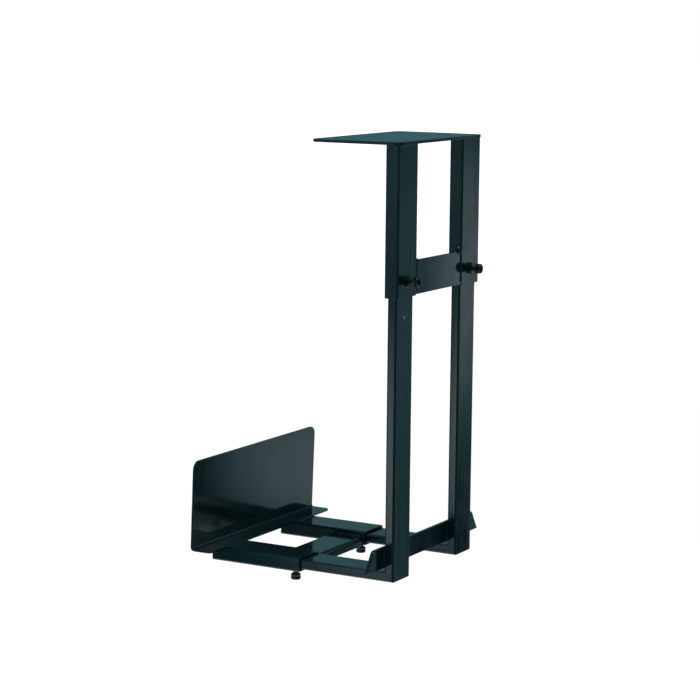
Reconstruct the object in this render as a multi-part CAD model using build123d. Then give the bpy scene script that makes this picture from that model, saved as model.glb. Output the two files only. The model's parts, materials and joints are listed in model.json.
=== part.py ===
from build123d import *
from math import radians, tan
import os

os.makedirs("parts", exist_ok=True)

# Under-desk computer holder, all steel.
# Frame: +Z up. The origin is on the face that meets the desk, at the middle of the four screw holes.
# The frame hangs down from there, its legs point to -X under the computer, and Y runs along the computer.
# All sizes are in millimetres.

# ---------------------------------------------------------------- overall sizes
frame_height = 435.0        # desk face to the underside of the legs, as set
tube_spacing = 136.0        # middle of the front tubes to the middle of the rear tubes
bay_width = 201.0           # fixed plate to side plate at the foot, as set

# ---------------------------------------------------------------- tubes
inner_tube_width = 35.0     # along Y
inner_tube_thickness = 10.0
tube_wall = 1.5
tube_corner = 2.0           # outside corner radius of every tube
slide_clearance = 1.0       # air on every side between a sliding tube and the tube around it
outer_tube_width = inner_tube_width + 2 * (tube_wall + slide_clearance)
outer_tube_thickness = inner_tube_thickness + 2 * (tube_wall + slide_clearance)

# ---------------------------------------------------------------- desk plate
plate_thickness = 3.0       # flat bar used for the desk plate, the cross bar and the fixed plate
desk_plate_length = 100.0   # along X
desk_plate_margin = 2.0     # how far it reaches past the sleeves, on three sides
desk_plate_corner = 8.0
hole_spacing_x = 50.0
hole_edge_y = 20.0          # from a hole to the plate's edge
desk_hole_radius = 2.75
hole_to_sleeve = 15.0       # from the nearer pair of holes to the sleeves

# ---------------------------------------------------------------- sleeves and cross bar
sleeve_length = 149.0
cross_bar_height = 34.0
cross_bar_setback = 0.5     # behind the outer faces of the sleeves
cross_bar_rise = 1.0        # above the lower end of the sleeves

# ---------------------------------------------------------------- uprights, legs and fixed plate
upright_overlap = 62.0      # length of an upright inside its sleeve, as set
leg_overlap = 46.0          # length of a leg inside its slide tube, as set
fixed_plate_height = 21.0
fixed_plate_lift = 4.5      # above the legs
plate_overhang = 35.0       # both long plates past the uprights
fixed_plate_slant = 13.0    # how much shorter its top edge is, at each end
fixed_plate_corner = 6.0

# ---------------------------------------------------------------- carriage
slide_length = 104.0
slide_to_wall = 3.5         # slide tube's end to the side plate
sheet = 2.0                 # thickness of the bent sheet parts
bend_radius = 2.0           # inside radius of their bends
side_plate_height = 93.0    # above the slide tubes
side_plate_flange = 25.0
side_plate_corner = 9.0
flange_corner = 6.0
side_plate_lean = 2.0       # degrees, top towards the computer
cross_plate_width = 37.0
cross_plate_depth = 9.5     # height of its turned-down edge
cross_plate_setback = 1.5   # from the ends of the slide tubes

# ---------------------------------------------------------------- clamp screws and weld nuts
screw_radius = 3.0
screw_head_radius = 5.0
screw_head_height = 6.0
screw_edge = 0.6
socket_across_flats = 5.0
socket_depth = 3.0
screw_exposed = 3.0         # bare thread between nut and head
nut_across_flats = 10.0
nut_height = 4.0
thread_clearance = 0.05     # radial, screw in nut
wall_hole_clearance = 0.4   # radial, screw in the tube wall
tip_clearance = 0.3         # screw tip to the tube it clamps
height_screw_rise = 16.0    # above the lower end of the sleeves
width_screw_inset = 15.5    # from the open end of the slide tubes

# ---------------------------------------------------------------- derived positions
FRONT = -1
REAR = 1
SIDES = {"front": FRONT, "rear": REAR}

tube_y = tube_spacing / 2
sleeve_inner_x = hole_spacing_x / 2 + hole_to_sleeve
tube_x = sleeve_inner_x + outer_tube_thickness / 2
sleeve_outer_x = sleeve_inner_x + outer_tube_thickness
upright_inner_x = tube_x - inner_tube_thickness / 2
upright_outer_x = tube_x + inner_tube_thickness / 2
sleeve_end_z = -plate_thickness - sleeve_length

leg_z = -frame_height + inner_tube_thickness / 2
leg_top_z = leg_z + inner_tube_thickness / 2
slide_top_z = leg_z + outer_tube_thickness / 2
slide_bottom_z = leg_z - outer_tube_thickness / 2

fixed_face_x = upright_inner_x - plate_thickness
wall_face_x = fixed_face_x - bay_width
slide_far_x = wall_face_x + slide_to_wall
slide_near_x = slide_far_x + slide_length
long_plate_half = tube_y + inner_tube_width / 2 + plate_overhang
screw_length = screw_exposed + nut_height + tube_wall + slide_clearance - tip_clearance
upright_length = frame_height + sleeve_end_z + upright_overlap
leg_length = upright_outer_x - slide_near_x + leg_overlap
tube_gap = tube_spacing - outer_tube_width
edge_match = 0.01           # how near a length must be to count as a corner edge of the sheet


def save(part, name):
    part.label = name
    export_step(part, f"parts/{name}.step")


def tube(width, thickness, length):
    """Rectangular tube along +Z from the origin, width along Y and thickness along X."""
    inside_corner = tube_corner - tube_wall
    outside = RectangleRounded(thickness, width, tube_corner)
    inside = RectangleRounded(thickness - 2 * tube_wall, width - 2 * tube_wall, inside_corner)
    return extrude(outside - inside, length)


def lay_down(part):
    """Turn a part standing along +Z so that it runs along -X, its +X side down."""
    return Rot(0, -90, 0) * part


def mitre(part, keep):
    """Cut a corner tube on the 45 degree plane through the corner of upright and leg."""
    corner = Plane(origin=(upright_outer_x, 0, -frame_height), z_dir=(1, 0, 1))
    return split(part, bisect_by=corner, keep=keep)


def hexagon(across_flats):
    """Hexagon outline around the origin, given the distance between opposite sides."""
    return RegularPolygon(across_flats / 3**0.5, 6)


def clamp_screw():
    """Socket-head screw along Z: the head's top is at +Z, its seat is at z = 0."""
    head = Cylinder(screw_head_radius, screw_head_height, align=(Align.CENTER, Align.CENTER, Align.MIN))
    head = chamfer(head.edges().filter_by(GeomType.CIRCLE).sort_by(Axis.Z)[-1], screw_edge)
    socket = extrude(hexagon(socket_across_flats), socket_depth)
    head -= Pos(0, 0, screw_head_height - socket_depth) * socket
    shank = Cylinder(screw_radius, screw_length, align=(Align.CENTER, Align.CENTER, Align.MAX))
    shank = chamfer(shank.edges().filter_by(GeomType.CIRCLE).sort_by(Axis.Z)[0], screw_edge)
    return head + shank


def weld_nut():
    """Hexagon nut standing on z = 0, with its upper corners eased."""
    corner_radius = nut_across_flats / 3**0.5
    ease = corner_radius - nut_across_flats / 2
    block = extrude(hexagon(nut_across_flats), nut_height)
    dome = Cylinder(corner_radius, nut_height, align=(Align.CENTER, Align.CENTER, Align.MIN))
    dome = chamfer(dome.edges().filter_by(GeomType.CIRCLE).sort_by(Axis.Z)[-1], ease)
    bore = Cylinder(screw_radius + thread_clearance, 3 * nut_height)
    return (block & dome) - bore


def bent_sheet(start, corner, end, length):
    """Sheet bent once. The three X, Z points are its outer skin, the sheet lies on their right, along Y."""
    skin = FilletPolyline(start, corner, end, radius=bend_radius + sheet)
    section = make_face(offset(skin, amount=sheet, side=Side.RIGHT))
    return extrude(Plane.XZ * section, length / 2, both=True)


# ---------------------------------------------------------------- desk plate
desk_plate_width = tube_spacing + outer_tube_width + 2 * desk_plate_margin
hole_spacing_y = desk_plate_width - 2 * hole_edge_y
desk_plate_x = sleeve_outer_x + desk_plate_margin - desk_plate_length / 2

desk_outline = RectangleRounded(desk_plate_length, desk_plate_width, desk_plate_corner)
desk_plate = Pos(desk_plate_x, 0, 0) * extrude(desk_outline, -plate_thickness)
for place in GridLocations(hole_spacing_x, hole_spacing_y, 2, 2):
    desk_plate -= place * Cylinder(desk_hole_radius, 3 * plate_thickness)
save(desk_plate, "desk_plate")

# ---------------------------------------------------------------- sleeves, their nuts and screws
height_screw_z = sleeve_end_z + height_screw_rise
wall_hole = Cylinder(screw_radius + wall_hole_clearance, 4 * tube_wall)
outward = Rot(0, 90, 0)

for side, sign in SIDES.items():
    y = sign * tube_y
    sleeve = Pos(tube_x, y, sleeve_end_z) * tube(outer_tube_width, outer_tube_thickness, sleeve_length)
    sleeve -= Pos(sleeve_outer_x, y, height_screw_z) * outward * wall_hole
    save(sleeve, f"{side}_sleeve")
    seat = Pos(sleeve_outer_x, y, height_screw_z) * outward
    save(seat * weld_nut(), f"{side}_height_nut")
    save(seat * Pos(0, 0, nut_height + screw_exposed) * clamp_screw(), f"{side}_height_screw")

# ---------------------------------------------------------------- cross bar between the sleeves
cross_bar_x = sleeve_outer_x - cross_bar_setback - plate_thickness / 2
cross_bar = Box(plate_thickness, tube_gap, cross_bar_height)
cross_bar = Pos(cross_bar_x, 0, sleeve_end_z + cross_bar_rise + cross_bar_height / 2) * cross_bar
save(cross_bar, "cross_bar")

# ---------------------------------------------------------------- uprights and legs, mitred at the corner
for side, sign in SIDES.items():
    y = sign * tube_y
    upright = Pos(tube_x, y, -frame_height) * tube(inner_tube_width, inner_tube_thickness, upright_length)
    save(mitre(upright, Keep.TOP), f"{side}_upright")
    leg = lay_down(tube(inner_tube_width, inner_tube_thickness, leg_length))
    leg = Pos(upright_outer_x, y, leg_z) * leg
    save(mitre(leg, Keep.BOTTOM), f"{side}_leg")

# ---------------------------------------------------------------- fixed plate behind the computer
fixed_bottom_z = leg_top_z + fixed_plate_lift
fixed_top_z = fixed_bottom_z + fixed_plate_height
top_half = long_plate_half - fixed_plate_slant
outline = Polyline(
    (-long_plate_half, fixed_bottom_z),
    (long_plate_half, fixed_bottom_z),
    (top_half, fixed_top_z),
    (-top_half, fixed_top_z),
    close=True,
)
face = make_face(outline)
face = fillet(face.vertices().group_by(Axis.Y)[-1], fixed_plate_corner)
fixed_plate = extrude(Plane.YZ.offset(fixed_face_x) * face, plate_thickness)
save(fixed_plate, "fixed_plate")

# ---------------------------------------------------------------- slide tubes, their nuts and screws
width_screw_x = slide_near_x - width_screw_inset
downward = Rot(180, 0, 0)

for side, sign in SIDES.items():
    y = sign * tube_y
    slide_tube = lay_down(tube(outer_tube_width, outer_tube_thickness, slide_length))
    slide_tube = Pos(slide_near_x, y, leg_z) * slide_tube
    slide_tube -= Pos(width_screw_x, y, slide_bottom_z) * wall_hole
    save(slide_tube, f"{side}_slide_tube")
    seat = Pos(width_screw_x, y, slide_bottom_z) * downward
    save(seat * weld_nut(), f"{side}_width_nut")
    save(seat * Pos(0, 0, nut_height + screw_exposed) * clamp_screw(), f"{side}_width_screw")

# ---------------------------------------------------------------- cross plate between the slide tubes
cross_near_x = slide_near_x - cross_plate_setback
cross_far_x = cross_near_x - cross_plate_width
cross_top_z = slide_bottom_z + cross_plate_depth
cross_plate = bent_sheet(
    (cross_far_x, cross_top_z),
    (cross_near_x, cross_top_z),
    (cross_near_x, slide_bottom_z),
    tube_gap,
)
save(cross_plate, "cross_plate")

# ---------------------------------------------------------------- side plate, bent from one sheet
wall_back_x = wall_face_x - sheet
wall_top_x = wall_back_x + side_plate_height * tan(radians(side_plate_lean))
side_plate = bent_sheet(
    (wall_back_x + side_plate_flange, slide_top_z),
    (wall_back_x, slide_top_z),
    (wall_top_x, slide_top_z + side_plate_height),
    2 * long_plate_half,
)
corner_edges = side_plate.edges().filter_by(lambda edge: abs(edge.length - sheet) < edge_match)
side_plate = fillet(corner_edges.group_by(Axis.Z)[-1], side_plate_corner)
corner_edges = side_plate.edges().filter_by(lambda edge: abs(edge.length - sheet) < edge_match)
side_plate = fillet(corner_edges.group_by(Axis.X)[-1], flange_corner)
save(side_plate, "side_plate")
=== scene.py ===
# %% [markdown]
# # An under-desk computer holder in black steel
# The holder is made of rectangular tube and bent sheet, painted gloss black. Its exact shapes come in as a
# ready-made frame, in metres, with +Z up into the desk. What is left to do here is what a paint shop and a
# welder do: ease the cut edges, lay the weld beads, cut the threads, paint everything, and light it.

# %% Load the frame
import bpy
import json
import math
import random
from mathutils import Matrix, Vector

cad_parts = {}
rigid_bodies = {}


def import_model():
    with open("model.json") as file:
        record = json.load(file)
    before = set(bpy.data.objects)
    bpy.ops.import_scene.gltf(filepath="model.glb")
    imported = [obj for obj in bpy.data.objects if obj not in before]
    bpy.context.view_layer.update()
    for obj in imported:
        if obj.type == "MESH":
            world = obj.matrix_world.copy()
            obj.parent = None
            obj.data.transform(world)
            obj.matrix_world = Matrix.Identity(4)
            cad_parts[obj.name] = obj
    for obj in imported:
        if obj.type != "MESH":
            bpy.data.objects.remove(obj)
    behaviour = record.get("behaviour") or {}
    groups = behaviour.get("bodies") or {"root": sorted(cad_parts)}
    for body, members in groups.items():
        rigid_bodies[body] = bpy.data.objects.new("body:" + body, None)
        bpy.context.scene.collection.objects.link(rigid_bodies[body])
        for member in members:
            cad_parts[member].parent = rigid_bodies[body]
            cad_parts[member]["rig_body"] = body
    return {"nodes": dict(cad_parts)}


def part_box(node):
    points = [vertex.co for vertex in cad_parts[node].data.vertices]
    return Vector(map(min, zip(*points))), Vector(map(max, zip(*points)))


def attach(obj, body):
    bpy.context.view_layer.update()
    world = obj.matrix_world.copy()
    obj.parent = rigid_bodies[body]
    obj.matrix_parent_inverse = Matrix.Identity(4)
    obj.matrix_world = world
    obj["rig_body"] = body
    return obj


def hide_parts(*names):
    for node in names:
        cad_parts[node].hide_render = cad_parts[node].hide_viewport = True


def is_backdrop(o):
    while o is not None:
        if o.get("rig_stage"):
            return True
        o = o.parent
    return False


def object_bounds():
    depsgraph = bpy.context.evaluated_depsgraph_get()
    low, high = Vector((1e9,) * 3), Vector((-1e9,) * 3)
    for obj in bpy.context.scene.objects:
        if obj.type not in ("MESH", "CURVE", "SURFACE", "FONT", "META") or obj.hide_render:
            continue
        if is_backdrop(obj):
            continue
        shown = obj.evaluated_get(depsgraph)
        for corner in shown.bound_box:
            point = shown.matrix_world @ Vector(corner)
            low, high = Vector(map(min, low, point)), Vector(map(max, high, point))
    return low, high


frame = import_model()
nodes = frame["nodes"]
cad_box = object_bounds()
mm = 0.001
print("nodes", len(nodes), "box", [round(v, 4) for corner in cad_box for v in corner])

# %% [markdown]
# ## Camera
# A long lens from about two metres keeps the tubes nearly parallel, as in a catalogue. The camera is placed
# by the direction it looks from. Building its axes by hand from azimuth, elevation and roll is more exact
# than turning it until it looks right, and the numbers can be changed one at a time.

# %% Camera
look_azimuth = math.radians(29.44)
look_elevation = math.radians(8.56)
look_roll = math.radians(0.54)
look_distance = 2.2
look_at = Vector((0.0253, -0.1279, -0.1987))

back = Vector((math.sin(look_azimuth) * math.cos(look_elevation),
               -math.cos(look_azimuth) * math.cos(look_elevation),
               math.sin(look_elevation)))
level_right = (-back).cross(Vector((0, 0, 1))).normalized()
level_up = level_right.cross(-back)
right = level_right * math.cos(look_roll) + level_up * math.sin(look_roll)
up = level_up * math.cos(look_roll) - level_right * math.sin(look_roll)

camera_data = bpy.data.cameras.new("camera")
camera_data.sensor_width = 36
camera_data.lens = 117.55
camera = bpy.data.objects.new("camera", camera_data)
bpy.context.scene.collection.objects.link(camera)
facing = Matrix((right, up, back)).transposed().to_4x4()
camera.matrix_world = Matrix.Translation(look_at + back * look_distance) @ facing
bpy.context.scene.camera = camera
print("camera at", [round(v, 3) for v in camera.location])

# %% [markdown]
# ## Node helpers
# A material is a small network of nodes. A few short helpers keep the recipes readable. The first two add a
# node with its settings and join two sockets. The others are the moves that every finish needs: map a
# range, turn a pattern into colours, lay one colour over another, weaken a pattern, and find the edges.

# %% Node helpers
def add(tree, kind, inputs=None, **settings):
    node = tree.nodes.new(kind)
    for name, value in settings.items():
        setattr(node, name, value)
    for name, value in (inputs or {}).items():
        node.inputs[name].default_value = value
    return node


def join(tree, start, end):
    tree.links.new(start, end)


def ramp(tree, source, stops):
    """Turns a 0 to 1 pattern into colours or greys. Stops are (place, grey or colour)."""
    node = tree.nodes.new("ShaderNodeValToRGB")
    points = node.color_ramp.elements
    for (place, tint), point in zip(stops, points):
        point.position = place
        point.color = (*tint, 1) if hasattr(tint, "__len__") else (tint, tint, tint, 1)
    join(tree, source, node.inputs["Fac"])
    return node.outputs["Color"]


def spread(tree, source, start, end, low, high, curve="LINEAR"):
    """Maps start..end of the source onto low..high and holds it there outside that range."""
    ends = {"From Min": start, "From Max": end, "To Min": low, "To Max": high}
    node = add(tree, "ShaderNodeMapRange", ends, interpolation_type=curve)
    join(tree, source, node.inputs["Value"])
    return node.outputs["Result"]


def mixed(tree, share, under, over):
    """Lays the colour `over` on the pattern `under`, as strongly as `share` says."""
    node = add(tree, "ShaderNodeMix", {"B": (*over, 1)}, data_type="RGBA")
    join(tree, share, node.inputs["Factor"])
    join(tree, under, node.inputs["A"])
    return node.outputs["Result"]


def times(tree, source, factor):
    node = add(tree, "ShaderNodeMath", {1: factor}, operation="MULTIPLY")
    join(tree, source, node.inputs[0])
    return node.outputs[0]


def edge_mask(tree, reach):
    """0 on flat faces and up to 1 on edges: compares the true normal with one rounded over `reach` metres."""
    rounded = add(tree, "ShaderNodeBevel", {"Radius": reach}, samples=4)
    true = tree.nodes.new("ShaderNodeNewGeometry")
    agree = add(tree, "ShaderNodeVectorMath", operation="DOT_PRODUCT")
    join(tree, rounded.outputs["Normal"], agree.inputs[0])
    join(tree, true.outputs["Normal"], agree.inputs[1])
    return spread(tree, agree.outputs["Value"], 0.98, 0.72, 0.0, 1.0)


print("helpers", [f.__name__ for f in (add, join, spread, ramp, mixed, times, edge_mask)])

# %% [markdown]
# ## Gloss black paint
# Sprayed enamel over steel is nearly a black mirror. Four things stop it from looking like plastic: a faint
# cool cast that drifts over the part, the slow swell called orange peel, a little dust on what faces up,
# and paint drawn thin along sharp edges. The swell has to be very shallow, or the mirror breaks up. Tube
# and strip are drawn through a die, which leaves long shallow lines under the paint, so those pieces get
# noise stretched along their length. Where tubes slide in one another there are fine rub lines as well, and
# each upright has a small round dent where the tip of the clamp screw was once tightened, with a pale
# painted highlight mixed into its colour as a glint.

# %% Patterns in the paint
def noise(tree, spot, scale, detail, roughness, distortion=0.0):
    node = add(tree, "ShaderNodeTexNoise",
               {"Scale": scale, "Detail": detail, "Roughness": roughness, "Distortion": distortion})
    join(tree, spot, node.inputs["Vector"])
    return node.outputs["Fac"]


def stretched_noise(tree, spot, along, fine, coarse):
    """Noise that runs in lines along one axis: `fine` lines per metre across it, `coarse` along it."""
    scale = {axis: coarse if axis == along else fine for axis in "XYZ"}
    lines = add(tree, "ShaderNodeMapping", {"Scale": (scale["X"], scale["Y"], scale["Z"])})
    join(tree, spot, lines.inputs["Vector"])
    return noise(tree, lines.outputs["Vector"], 1.0, 3.0, 0.6)


def dents(tree, place, centre, radius):
    """1 in the middle of a small round dent at a point and at its mirror points, else 0. It shapes both the
    dent and its painted highlight.
    """
    folded = add(tree, "ShaderNodeVectorMath", operation="ABSOLUTE")
    join(tree, place, folded.inputs[0])
    gap = add(tree, "ShaderNodeVectorMath", {1: [abs(v) for v in centre]}, operation="DISTANCE")
    join(tree, folded.outputs["Vector"], gap.inputs[0])
    return spread(tree, gap.outputs["Value"], radius, 0.2 * radius, 0.0, 1.0, "SMOOTHSTEP")


print("paint patterns", [f.__name__ for f in (noise, stretched_noise, dents)])

# %% Colour of the paint
deep_black = (0.0003, 0.0056, 0.0072)
worn_black = (0.0016, 0.0086, 0.0104)
thin_paint = (0.030, 0.046, 0.052)
dust = (0.30, 0.29, 0.27)
# Painted highlight: a pale grey mixed into each upright's dent as a glint.
painted_glint_grey = (0.42, 0.47, 0.50)
edge_reach = 0.7 * mm


def dust_share(tree, spot):
    """Dust lies on what faces up, in specks."""
    facing = tree.nodes.new("ShaderNodeSeparateXYZ")
    join(tree, tree.nodes.new("ShaderNodeNewGeometry").outputs["Normal"], facing.inputs[0])
    settled = add(tree, "ShaderNodeMath", operation="MULTIPLY")
    join(tree, spread(tree, facing.outputs["Z"], 0.6, 1.0, 0.0, 0.008), settled.inputs[0])
    join(tree, noise(tree, spot, 260.0, 6.0, 0.7), settled.inputs[1])
    return settled.outputs[0]


def paint_colour(tree, spot, dent):
    colour = ramp(tree, noise(tree, spot, 9.0, 4.0, 0.55), [(0.32, deep_black), (0.70, worn_black)])
    colour = mixed(tree, times(tree, edge_mask(tree, edge_reach), 0.22), colour, thin_paint)
    colour = mixed(tree, dust_share(tree, spot), colour, dust)
    # Painted highlight: the middle of the dent is mixed toward pale grey, a glint painted into the colour.
    if dent:
        colour = mixed(tree, times(tree, dent, 0.30), colour, painted_glint_grey)
    return colour


print("deepest black", deep_black)

# %% Surface of the paint
peel_height = 0.06 * mm
dent_depth = 0.15 * mm
drawn_height = 0.22 * mm
rub_depth = 0.02 * mm


def bump(tree, height, surface, strength, distance, invert=False):
    """Raises the pattern `height` on the surface below, or presses it in."""
    node = add(tree, "ShaderNodeBump", {"Strength": strength, "Distance": distance}, invert=invert)
    join(tree, height, node.inputs["Height"])
    if surface:
        join(tree, surface, node.inputs["Normal"])
    return node.outputs["Normal"]


def paint_surface(tree, spot, along, dent, rub_lines):
    surface = bump(tree, noise(tree, spot, 330.0, 1.5, 0.4), None, 0.18, peel_height)
    if dent:
        surface = bump(tree, dent, surface, 1.0, dent_depth, True)
    if along:
        surface = bump(tree, stretched_noise(tree, spot, along, 150, 2.5), surface, 0.6, drawn_height)
    if rub_lines:
        surface = bump(tree, rub_lines, surface, 0.10, rub_depth, True)
    return surface


print("orange peel", round(peel_height / mm, 3), "mm, drawn lines", round(drawn_height / mm, 3), "mm")

# %% Gloss paint
cool_mirror = (0.78, 0.93, 1.0, 1)
dent_radius = 2.6 * mm


def gloss_paint(name, seed, along=None, rub=0.0, dent_at=None):
    """The seed shifts the patterns. `along` is the drawn direction, `rub` the dullness of the rub lines."""
    material = bpy.data.materials.new(name)
    material.use_nodes = True
    tree = material.node_tree
    shader = tree.nodes["Principled BSDF"]
    shader.inputs["IOR"].default_value = 1.5
    shader.inputs["Specular Tint"].default_value = cool_mirror

    place = tree.nodes.new("ShaderNodeTexCoord").outputs["Object"]
    shifted = add(tree, "ShaderNodeMapping", {"Location": (seed * 0.37, seed * 0.21, seed * 0.53)})
    join(tree, place, shifted.inputs["Vector"])
    spot = shifted.outputs["Vector"]
    dent = dents(tree, place, dent_at, dent_radius) if dent_at else None
    rough = spread(tree, noise(tree, spot, 28.0, 5.0, 0.6, 0.4), 0.3, 0.75, 0.07, 0.16)
    rub_lines = None
    if rub:
        rub_lines = ramp(tree, stretched_noise(tree, spot, along, 900, 12), [(0.60, 0.0), (0.74, 1.0)])
        worn = add(tree, "ShaderNodeMath", operation="ADD")
        join(tree, rough, worn.inputs[0])
        join(tree, times(tree, rub_lines, rub), worn.inputs[1])
        rough = worn.outputs[0]

    join(tree, paint_colour(tree, spot, dent), shader.inputs["Base Color"])
    join(tree, rough, shader.inputs["Roughness"])
    join(tree, paint_surface(tree, spot, along, dent, rub_lines), shader.inputs["Normal"])
    return material


print("dent radius", round(dent_radius / mm, 2), "mm")

# %% The eight paints
screw_mark_z = -172 * mm
tube_rub = 0.10
# Painted shade: the weld lumps get a darker reflection tint, standing in for the dark surroundings they
# mirror.
painted_shade_specular_tint = (0.34, 0.42, 0.46, 1)
low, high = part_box("rear_upright")
screw_mark = Vector((high.x, (low.y + high.y) / 2, screw_mark_z))
screw_mark = nodes["rear_upright"].matrix_world.inverted() @ screw_mark

paint_welds = gloss_paint("gloss black paint on welds", 1)
paint_upright = gloss_paint("gloss black paint on uprights", 2, "Z", tube_rub, screw_mark)
paint_leg = gloss_paint("gloss black paint on legs", 3, "X", tube_rub)
paint_sheet = gloss_paint("gloss black paint on bent sheet", 4)
paint_sleeve = gloss_paint("gloss black paint on sleeves", 5, "Z")
paint_slide = gloss_paint("gloss black paint on slide tubes", 6, "X")
paint_strip = gloss_paint("gloss black paint on cross strips", 7, "Y")
lump_paint_with_painted_shade = gloss_paint("gloss black paint on the weld lumps", 8)
lump_paint_with_painted_shade.node_tree.nodes["Principled BSDF"].inputs["Specular Tint"].default_value = painted_shade_specular_tint
print("paints", [m.name for m in bpy.data.materials if m.name.startswith("gloss")])

# %% [markdown]
# ## Black oxide on the screws
# Socket-head screws are blackened in a hot bath, not painted. The film is thin and satin, slightly mottled,
# and the steel shines through first on the tips of the knurl and the thread crests.

# %% Black oxide recipe
thick_film = (0.003, 0.005, 0.006)
thin_film = (0.010, 0.013, 0.015)
bare_steel = (0.07, 0.09, 0.10)
tip_reach = 0.25 * mm
film_grain = 0.02 * mm


def black_oxide(name):
    material = bpy.data.materials.new(name)
    material.use_nodes = True
    tree = material.node_tree
    shader = tree.nodes["Principled BSDF"]
    shader.inputs["Metallic"].default_value = 0.35
    shader.inputs["Specular Tint"].default_value = cool_mirror
    mottle = noise(tree, tree.nodes.new("ShaderNodeTexCoord").outputs["Object"], 480.0, 5.0, 0.65)
    film = ramp(tree, mottle, [(0.30, thick_film), (0.72, thin_film)])
    film = mixed(tree, times(tree, edge_mask(tree, tip_reach), 0.18), film, bare_steel)
    join(tree, film, shader.inputs["Base Color"])
    join(tree, spread(tree, mottle, 0.3, 0.7, 0.12, 0.24), shader.inputs["Roughness"])
    join(tree, bump(tree, mottle, None, 0.25, film_grain), shader.inputs["Normal"])
    return material


oxide = black_oxide("black oxide on screws")
print("screw finish", oxide.name)

# %% [markdown]
# ## Paint the steel and ease its edges
# A saw or a press leaves a crisp edge, and the paint rounds it off by a few tenths of a millimetre. That
# thin rounded strip is what catches the light along a black part. Three modifiers do it without touching
# the frame's own mesh: Weld closes the seams between faces, Bevel rounds what is sharper than a limit
# angle, and Weighted Normal keeps the large flats flat.

# %% Ease edges and assign paint
def ease_edges(piece, width):
    stored = piece.data.attributes.get("custom_normal")
    if stored:
        piece.data.attributes.remove(stored)
    for face in piece.data.polygons:
        face.use_smooth = True
    seam = piece.modifiers.new("close seams", "WELD")
    seam.merge_threshold = 0.001 * mm
    bevel = piece.modifiers.new("eased edge", "BEVEL")
    bevel.width = width
    bevel.segments = 2
    bevel.limit_method = "ANGLE"
    bevel.angle_limit = math.radians(40)
    bevel.use_clamp_overlap = True
    flats = piece.modifiers.new("flat faces stay flat", "WEIGHTED_NORMAL")
    flats.weight = 100


paint_of = {"upright": paint_upright, "leg": paint_leg, "sleeve": paint_sleeve, "slide_tube": paint_slide,
            "cross_bar": paint_strip, "fixed_plate": paint_strip, "nut": paint_welds}
for name, piece in nodes.items():
    if name.endswith("_screw"):
        continue
    finish = next((p for ending, p in paint_of.items() if name.endswith(ending)), paint_sheet)
    piece.data.materials.clear()
    piece.data.materials.append(finish)
    ease_edges(piece, 0.25 * mm if name.endswith("nut") else 0.35 * mm)
print("painted", sum(not n.endswith("_screw") for n in nodes))

# %% [markdown]
# ## Building a mesh from rings
# A screw and a weld bead are both a row of rings joined by four-sided faces, closed at the two ends. One
# helper turns a list of rings into a mesh, so that each piece only has to say where its points go.

# %% Rings to mesh
def mesh_from_rings(name, rings, material, body, slot):
    count = len(rings[0])
    points = [p for ring in rings for p in ring]
    faces = []
    for r in range(len(rings) - 1):
        for k in range(count):
            nxt = (k + 1) % count
            faces.append((r * count + k, r * count + nxt, (r + 1) * count + nxt, (r + 1) * count + k))
    for ring_start, flip in ((0, True), ((len(rings) - 1) * count, False)):
        centre = sum((points[ring_start + k] for k in range(count)), Vector()) / count
        points.append(centre)
        for k in range(count):
            pair = (ring_start + k, ring_start + (k + 1) % count)
            faces.append((pair[1], pair[0], len(points) - 1) if flip else (*pair, len(points) - 1))
    mesh = bpy.data.meshes.new(name)
    mesh.from_pydata(points, [], faces)
    mesh.update()
    for face in mesh.polygons:
        face.use_smooth = True
    piece = bpy.data.objects.new(name, mesh)
    bpy.context.scene.collection.objects.link(piece)
    mesh.materials.append(material)
    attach(piece, body)
    return piece


print("helper", mesh_from_rings.__name__)

# %% [markdown]
# ## Clamp screws
# Each is an M6 socket-head screw: a knurled head to grip by hand, a hexagon socket for the key, and a
# thread of 1 mm pitch. The thread is real geometry. Its radius rises and falls once per pitch along the
# screw, and the same wave is shifted a little at each step around, which is all that a helix is. The
# frame's plain screw gives the place and the size, and stays behind for the physics.

# %% Clamp screws
head_radius = 5.0 * mm
head_height = 6.0 * mm
shank_radius = 3.0 * mm
thread_pitch = 1.0 * mm
thread_depth = 0.5 * mm
socket_flats = 5.0 * mm
socket_depth = 3.0 * mm
knurl_teeth = 32
knurl_depth = 0.22 * mm
steps_around = 3 * knurl_teeth
steps_per_pitch = 6


def circle_ring(radius, height):
    angles = [2 * math.pi * k / steps_around for k in range(steps_around)]
    return [Vector((radius * math.cos(a), radius * math.sin(a), height)) for a in angles]


def hexagon_ring(flats, height):
    ring = []
    for k in range(steps_around):
        a = 2 * math.pi * k / steps_around
        off = (a % (math.pi / 3)) - math.pi / 6
        radius = flats / 2 / math.cos(off)
        ring.append(Vector((radius * math.cos(a), radius * math.sin(a), height)))
    return ring


def knurl_ring(radius, height, depth):
    ring = circle_ring(radius, height)
    for k, point in enumerate(ring):
        if k % 3 == 0:
            point.xy *= (radius - depth) / radius
    return ring


def thread_ring(height, tip):
    ring = []
    for k in range(steps_around):
        turn = k / steps_around
        wave = abs(((height / thread_pitch - turn) % 1.0) * 2 - 1)
        radius = min(shank_radius - thread_depth * wave, shank_radius - thread_depth + (height - tip))
        angle = 2 * math.pi * turn
        ring.append(Vector((radius * math.cos(angle), radius * math.sin(angle), height)))
    return ring


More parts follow.
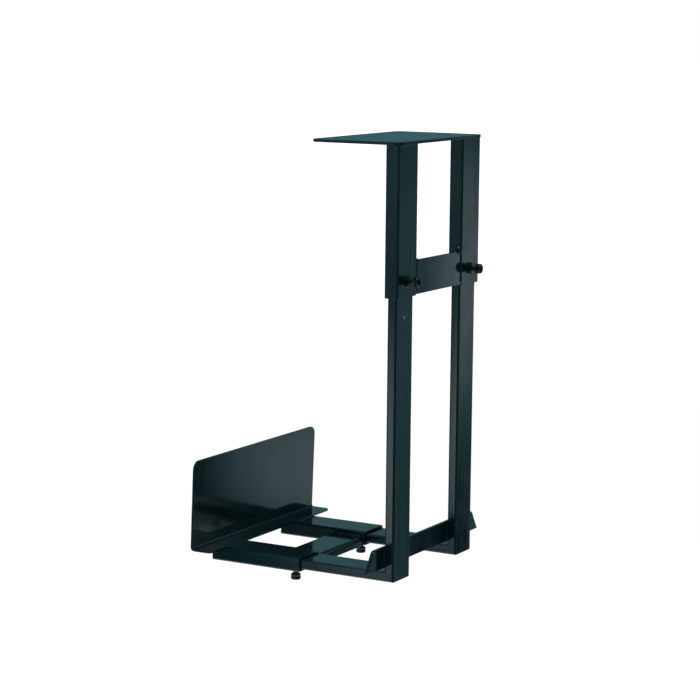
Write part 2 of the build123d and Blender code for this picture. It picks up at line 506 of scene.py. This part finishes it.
def screw_rings(length):
    tip = head_height - length
    steps = int(-tip / thread_pitch * steps_per_pitch)
    rings = [thread_ring(tip + (-tip) * s / steps, tip) for s in range(steps + 1)]
    rings.append(circle_ring(head_radius - 0.5 * mm, 0.0))
    rings.append(circle_ring(head_radius - 0.15 * mm, 0.15 * mm))
    rings.append(knurl_ring(head_radius, 0.6 * mm, 0.0))
    rings.append(knurl_ring(head_radius, 0.8 * mm, knurl_depth))
    rings.append(knurl_ring(head_radius, head_height - 1.2 * mm, knurl_depth))
    rings.append(knurl_ring(head_radius, head_height - 1.0 * mm, 0.0))
    rings.append(circle_ring(head_radius - 0.15 * mm, head_height - 0.45 * mm))
    rings.append(circle_ring(head_radius - 0.6 * mm, head_height))
    rings.append(circle_ring(socket_flats / 2 + 0.75 * mm, head_height))
    rings.append(hexagon_ring(socket_flats + 0.3 * mm, head_height - 0.02 * mm))
    rings.append(hexagon_ring(socket_flats, head_height - 0.3 * mm))
    rings.append(hexagon_ring(socket_flats, head_height - socket_depth))
    rings.append(hexagon_ring(socket_flats * 0.5, head_height - socket_depth - 0.5 * mm))
    return rings


for name in sorted(n for n in nodes if n.endswith("_screw")):
    low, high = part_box(name)
    middle = (low + high) / 2
    if "height" in name:
        turned = Matrix.Rotation(math.pi / 2, 3, "Y")
        seat = Vector((high.x - head_height, middle.y, middle.z))
        length = high.x - low.x
    else:
        turned = Matrix.Rotation(math.pi, 3, "X")
        seat = Vector((middle.x, middle.y, low.z + head_height))
        length = high.z - low.z
    rings = [[seat + turned @ p for p in ring] for ring in screw_rings(length)]
    screw = mesh_from_rings(name + "_threaded", rings, oxide, name, "black_oxide_steel")
    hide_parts(name)
    print(name, "length", round(length / mm, 2), "mm, points", len(screw.data.vertices))

# %% [markdown]
# ## Weld beads
# Where two pieces are welded, the torch leaves a row of overlapping puddles. Each puddle is rounder at its
# front and the next one covers its back, so the bead's thickness goes up and down like a saw tooth. A bead
# is swept along its seam as rings whose radius follows that wave, with rounded ends, and is then painted
# over with the rest of the part. A small random change from puddle to puddle keeps it from looking turned
# on a lathe.

# %% Bead builder
puddle_length = 1.9 * mm
bead_steps_around = 16
bead_steps_per_puddle = 5
puddle_peak = 0.35                       # where along a puddle it is thickest
bead_axis = Vector((0.31, 0.42, 0.85))   # any direction that no seam runs in


def lay_bead(name, path, radius, body, seed, ripple=0.14, paint=paint_welds):
    """Sweeps a bead along the given points. The seam is the path, so about half of the bead shows."""
    hand = random.Random(seed)
    path = [Vector(p) for p in path]
    lengths = [(b - a).length for a, b in zip(path, path[1:])]
    total = sum(lengths)
    puddles = max(2, round(total / puddle_length))
    sizes = [1 + hand.uniform(-0.07, 0.07) for _ in range(puddles + 1)]
    steps = puddles * bead_steps_per_puddle
    rings = []
    for s in range(steps + 1):
        away = total * s / steps
        run = away
        k = 0
        while k < len(lengths) - 1 and run > lengths[k]:
            run -= lengths[k]
            k += 1
        ahead = (path[k + 1] - path[k]).normalized()
        spot = path[k] + ahead * run
        side = ahead.cross(bead_axis).normalized()
        other = ahead.cross(side)
        puddle = s / bead_steps_per_puddle
        off_peak = ((puddle % 1.0) - puddle_peak) / (1 - puddle_peak)
        swell = 1 - ripple + ripple * math.sqrt(1 - off_peak ** 2)
        past_end = max(0.0, 1 - min(away, total - away) / radius)
        ends = max(0.06, math.sqrt(max(0.0, 1 - past_end ** 2)))
        r = radius * swell * sizes[int(puddle)] * ends
        rings.append([spot + (side * math.cos(t) + other * math.sin(t)) * r
                      for t in (2 * math.pi * j / bead_steps_around for j in range(bead_steps_around))])
    return mesh_from_rings(name, rings, paint, body, "black_gloss_paint")


def around(centre, radius, start, end, plane):
    """Points on an arc, for a bead that goes round a nut. The plane is YZ or XY."""
    points = []
    for s in range(13):
        a = math.radians(start + (end - start) * s / 12)
        u, v = radius * math.cos(a), radius * math.sin(a)
        points.append(centre + (Vector((0, u, v)) if plane == "YZ" else Vector((u, v, 0))))
    return points


def bead_count(body):
    riding = [o for o in bpy.data.objects if o.get("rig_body") == body]
    return sum(o.name.startswith(("weld", "tack")) for o in riding)


print("puddle", round(puddle_length / mm, 2), "mm long")

# %% [markdown]
# ## Where the beads go
# The welder puts them where two pieces meet and the torch can reach: at the cross bar's ends, under the
# desk plate, in and over the foot corners, where the fixed plate crosses the uprights, along the cross
# plate's ends, on the side plate's flange, and as short tacks on the nuts. One lump, at the rear end of the
# cross bar, is much bigger than the rest. The fixed plate's front end was cut roughly, so a burr runs down
# it under the paint. The places are worked out from the boxes of the pieces that meet.

# %% Beads on the desk frame
bar_low, bar_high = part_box("cross_bar")
plate_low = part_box("desk_plate")[0]
nut_seam_radius = 5.6 * mm
tack_radius = 0.95 * mm
tack_sweep = 80                     # degrees
# radius of the lump on each end of the cross bar, its distance in from the end, and its top above the bar
lumps = {"front": (2.2 * mm, 1.6 * mm, 1.5 * mm), "rear": (4.3 * mm, 4.2 * mm, 6.5 * mm)}
for side, sign in (("front", -1), ("rear", 1)):
    sleeve_low, sleeve_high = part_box(side + "_sleeve")
    seam_x = bar_high.x - 0.4 * mm
    seam_y = sign * bar_high.y
    seam = [(seam_x, seam_y, bar_low.z + 2 * mm), (seam_x, seam_y, bar_high.z - 1 * mm)]
    lay_bead(f"weld_cross_bar_{side}", seam, 1.5 * mm, "desk_frame", 11 + sign)

    lump, inward, above = lumps[side]
    lump_x = bar_high.x - 1.0 * mm
    lump_y = seam_y - sign * inward
    seam = [(lump_x, lump_y, bar_high.z - 3 * mm), (lump_x, lump_y, bar_high.z + above)]
    # The lumps take the paint whose reflection is darkened as painted shade.
    lay_bead(f"weld_cross_bar_end_{side}", seam, lump, "desk_frame", 21 + sign, 0.04, lump_paint_with_painted_shade)

    for place, x in (("inner", sleeve_low.x), ("outer", sleeve_high.x)):
        seam = [(x, sleeve_low.y + 4 * mm, plate_low.z), (x, sleeve_high.y - 4 * mm, plate_low.z)]
        seed = 31 + sign + int(x / mm)
        lay_bead(f"weld_sleeve_top_{place}_{side}", seam, 1.9 * mm, "desk_frame", seed)

    nut_low, nut_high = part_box(side + "_height_nut")
    nut_middle = Vector((nut_low.x, (nut_low.y + nut_high.y) / 2, (nut_low.z + nut_high.z) / 2))
    for place, start in (("upper", 50), ("lower", 230)):
        seam = around(nut_middle, nut_seam_radius, start, start + tack_sweep, "YZ")
        lay_bead(f"tack_height_nut_{place}_{side}", seam, tack_radius, "desk_frame", 41 + start)
print("desk frame beads", bead_count("desk_frame"))

# %% Beads on the lower frame
fixed_low, fixed_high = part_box("fixed_plate")
for side in ("front", "rear"):
    up_low, up_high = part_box(side + "_upright")
    leg_low, leg_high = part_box(side + "_leg")
    seam = [(up_low.x, up_low.y + 3 * mm, leg_high.z), (up_low.x, up_high.y - 3 * mm, leg_high.z)]
    lay_bead(f"weld_foot_{side}", seam, 1.6 * mm, "lower_frame", 51)

    for place, y in (("near", up_low.y), ("far", up_high.y)):
        seam = [(fixed_high.x, y, fixed_low.z + 2 * mm), (fixed_high.x, y, fixed_high.z - 2 * mm)]
        seed = 61 + int(y / mm)
        lay_bead(f"weld_fixed_plate_{place}_{side}", seam, 0.8 * mm, "lower_frame", seed, 0.06)

    mitre_y = up_low.y + 0.3 * mm
    seam = [(up_low.x + 1 * mm, mitre_y, leg_high.z - 1 * mm),
            (up_high.x - 1 * mm, mitre_y, leg_low.z + 1 * mm)]
    lay_bead(f"weld_mitre_{side}", seam, 0.75 * mm, "lower_frame", 66)
print("lower frame beads", bead_count("lower_frame"))

# %% Burr on the fixed plate's front end
plate = nodes["fixed_plate"]
corners = sorted((plate.matrix_world @ v.co for v in plate.data.vertices), key=lambda p: p.y)
end_top = next(p for p in corners if p.z > fixed_high.z - 4 * mm)
end_low = next(p for p in corners if p.z < fixed_low.z + 4 * mm)
burr_x = fixed_high.x - 0.5 * mm
burr = [(burr_x, end_low.y + 1 * mm, end_low.z + 0.8 * mm),
        (burr_x, end_top.y + 0.6 * mm, end_top.z - 0.8 * mm)]
lay_bead("burr_fixed_plate", burr, 0.9 * mm, "lower_frame", 68, 0.25)
print("fixed plate's front end", [round(v / mm, 1) for v in (*end_low, *end_top)])

# %% Beads on the carriage
cross_low, cross_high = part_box("cross_plate")
wall_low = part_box("side_plate")[0]
flange_edge_x = wall_low.x + 25 * mm
for side, sign in (("front", -1), ("rear", 1)):
    seam_y = sign * cross_high.y
    seam = [(cross_low.x + 3 * mm, seam_y, cross_high.z), (cross_high.x - 4 * mm, seam_y, cross_high.z)]
    lay_bead(f"weld_cross_plate_{side}", seam, 1.3 * mm, "carriage", 71 + sign)

    tube_low, tube_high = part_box(side + "_slide_tube")
    seam_z = tube_high.z + 0.2 * mm
    seam = [(flange_edge_x, tube_low.y + 6 * mm, seam_z), (flange_edge_x, tube_high.y - 6 * mm, seam_z)]
    lay_bead(f"weld_flange_{side}", seam, 1.5 * mm, "carriage", 81 + sign)

    nut_low, nut_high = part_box(side + "_width_nut")
    nut_middle = Vector(((nut_low.x + nut_high.x) / 2, (nut_low.y + nut_high.y) / 2, nut_high.z))
    for place, start in (("inner", 140), ("outer", 320)):
        seam = around(nut_middle, nut_seam_radius, start, start + tack_sweep, "XY")
        lay_bead(f"tack_width_nut_{place}_{side}", seam, tack_radius, "carriage", 91 + start)
print("carriage beads", bead_count("carriage"))

# %% [markdown]
# ## Studio
# Gloss black shows what is around it more than its own colour, so the studio is half of the finish. The
# room and the floor are white. Round the holder stands a tent of grey card, the usual way to light black
# gloss, with a bright patch low at the front left and weaker ones elsewhere. The card is bluer where it is
# darker. Only reflections see the tent: it throws no shadow and hides nothing. The floor lies lower than
# the foot, because the holder hangs from a desk.

# %% Floor
floor_z = -0.70
reach = 30.0
pale = bpy.data.materials.new("pale studio floor")
pale.use_nodes = True
tree = pale.node_tree
matt = tree.nodes["Principled BSDF"]
matt.inputs["Base Color"].default_value = (0.60, 0.60, 0.60, 1)
matt.inputs["Roughness"].default_value = 0.9
matt.inputs["Specular IOR Level"].default_value = 0.1
matt.inputs["Emission Color"].default_value = (1, 1, 1, 1)


def background_rays(tree):
    """1 for the rays that should see the white background: camera, glossy and transmission."""
    rays = tree.nodes.new("ShaderNodeLightPath")
    total = rays.outputs["Is Camera Ray"]
    for kind in ("Is Glossy Ray", "Is Transmission Ray"):
        either = add(tree, "ShaderNodeMath", operation="MAXIMUM")
        join(tree, total, either.inputs[0])
        join(tree, rays.outputs[kind], either.inputs[1])
        total = either.outputs[0]
    return total


away = add(tree, "ShaderNodeVectorMath", operation="LENGTH")
join(tree, tree.nodes.new("ShaderNodeTexCoord").outputs["Object"], away.inputs[0])
lift = spread(tree, away.outputs["Value"], 1.2, 7.0, 0.47, 0.85)
seen_lift = add(tree, "ShaderNodeMath", operation="MULTIPLY")
join(tree, background_rays(tree), seen_lift.inputs[0])
join(tree, lift, seen_lift.inputs[1])
join(tree, seen_lift.outputs[0], matt.inputs["Emission Strength"])

floor_mesh = bpy.data.meshes.new("studio_floor")
corners = [(x * reach, y * reach, floor_z) for x, y in ((-1, -1), (1, -1), (1, 1), (-1, 1))]
floor_mesh.from_pydata(corners, [], [(0, 1, 2, 3)])
floor_mesh.materials.append(pale)
floor = bpy.data.objects.new("studio_floor", floor_mesh)
bpy.context.scene.collection.objects.link(floor)
floor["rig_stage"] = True
print("floor at", floor_z)

# %% White room
world = bpy.data.worlds.new("white room")
bpy.context.scene.world = world
world.use_nodes = True
tree = world.node_tree
room = tree.nodes["Background"]
room.inputs["Color"].default_value = (1.0, 1.0, 1.0, 1)
join(tree, spread(tree, background_rays(tree), 0.0, 1.0, 0.62, 1.0), room.inputs["Strength"])
print("room", world.name)

# %% Grey card
tent_grey = 0.17
shade_blue = (0.30, 0.88, 1.0)
light_blue = (0.88, 0.96, 1.0)
# centre, reach across, reach up and down, and strength of each patch; a strength below 0 makes it darker
patches = [((-0.30, -0.85, -0.50), 0.28, 0.28, 1.70), ((-0.33, -0.84, 0.05), 0.60, 0.60, 0.34),
           ((0.425, 0.797, -0.24), 0.06, 0.30, 0.68), ((0.27, 0.855, -0.58), 0.20, 0.16, 0.60),
           ((0.52, 0.73, -0.40), 0.10, 0.60, 0.18), ((0.43, 0.79, -0.60), 0.06, 0.13, -0.30),
           ((0.82, -0.38, -0.20), 0.45, 0.45, 0.10), ((-0.85, 0.30, -0.10), 0.45, 0.45, 0.40),
           ((-0.50, 0.75, -0.30), 0.30, 0.30, 0.10)]


def patch(tree, where, centre, across, tall, power):
    """A soft oval of light on the card: `power` in its middle and 0 beyond its reach."""
    offset = add(tree, "ShaderNodeVectorMath", {1: centre}, operation="SUBTRACT")
    join(tree, where, offset.inputs[0])
    share = add(tree, "ShaderNodeVectorMath", {1: (1 / across, 1 / across, 1 / tall)}, operation="MULTIPLY")
    join(tree, offset.outputs["Vector"], share.inputs[0])
    gap = add(tree, "ShaderNodeVectorMath", operation="LENGTH")
    join(tree, share.outputs["Vector"], gap.inputs[0])
    return spread(tree, gap.outputs["Value"], 1.0, 0.15, 0.0, power, "SMOOTHSTEP")


card = bpy.data.materials.new("grey card")
card.use_nodes = True
tree = card.node_tree
tree.nodes.remove(tree.nodes["Principled BSDF"])
glow = tree.nodes.new("ShaderNodeEmission")
join(tree, glow.outputs[0], tree.nodes["Material Output"].inputs["Surface"])
where = tree.nodes.new("ShaderNodeTexCoord").outputs["Object"]
level = add(tree, "ShaderNodeValue")
level.outputs[0].default_value = tent_grey
level = level.outputs[0]
for centre, across, tall, power in patches:
    total = add(tree, "ShaderNodeMath", operation="ADD")
    join(tree, level, total.inputs[0])
    join(tree, patch(tree, where, centre, across, tall, power), total.inputs[1])
    level = total.outputs[0]
least = add(tree, "ShaderNodeMath", {1: 0.01}, operation="MAXIMUM")
join(tree, level, least.inputs[0])
join(tree, least.outputs[0], glow.inputs["Strength"])
join(tree, ramp(tree, level, [(0.12, shade_blue), (0.95, light_blue)]), glow.inputs["Color"])
print("card patches", len(patches))

# %% Tent
tent_radius = 0.9
tent_top = 1.1
tent_panels = 48
turns = [2 * math.pi * k / tent_panels for k in range(tent_panels)]
rim = [(tent_radius * math.cos(a), tent_radius * math.sin(a)) for a in turns]
after = [(k + 1) % tent_panels for k in range(tent_panels)]
panels = [(k, after[k], tent_panels + after[k], tent_panels + k) for k in range(tent_panels)]
tent_mesh = bpy.data.meshes.new("grey_tent")
tent_mesh.from_pydata([(x, y, z) for z in (floor_z, tent_top) for x, y in rim], [], panels)
tent_mesh.materials.append(card)
tent = bpy.data.objects.new("grey_tent", tent_mesh)
bpy.context.scene.collection.objects.link(tent)
tent.visible_camera = False
tent.visible_diffuse = False
tent.visible_transmission = False
tent.visible_shadow = False
tent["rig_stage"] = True
print("tent panels", len(tent_mesh.polygons))

# %% Lights
def soft_light(name, place, aim, width, height, power, mirrored):
    """A flat lamp. A mirrored one also shows in reflections, as a glint on what is round."""
    data = bpy.data.lights.new(name, "AREA")
    data.shape = "RECTANGLE"
    data.size = width
    data.size_y = height
    data.energy = power
    lamp = bpy.data.objects.new(name, data)
    bpy.context.scene.collection.objects.link(lamp)
    lamp.location = place
    lamp.rotation_euler = (Vector(aim) - Vector(place)).to_track_quat("-Z", "Y").to_euler()
    lamp.visible_glossy = mirrored
    return lamp


middle = (cad_box[0] + cad_box[1]) / 2
soft_light("front left light", (-1.5, -1.9, 0.6), middle, 0.9, 1.8, 26, False)
soft_light("top light", (0.2, -0.3, 1.7), middle, 0.8, 0.8, 20, True)
bpy.context.scene.view_settings.view_transform = "Standard"

shown_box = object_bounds()
growth = [round((b - a) / mm, 3) for ca, cb in zip(cad_box, shown_box) for a, b in zip(ca, cb)]
print("box change in mm", growth)
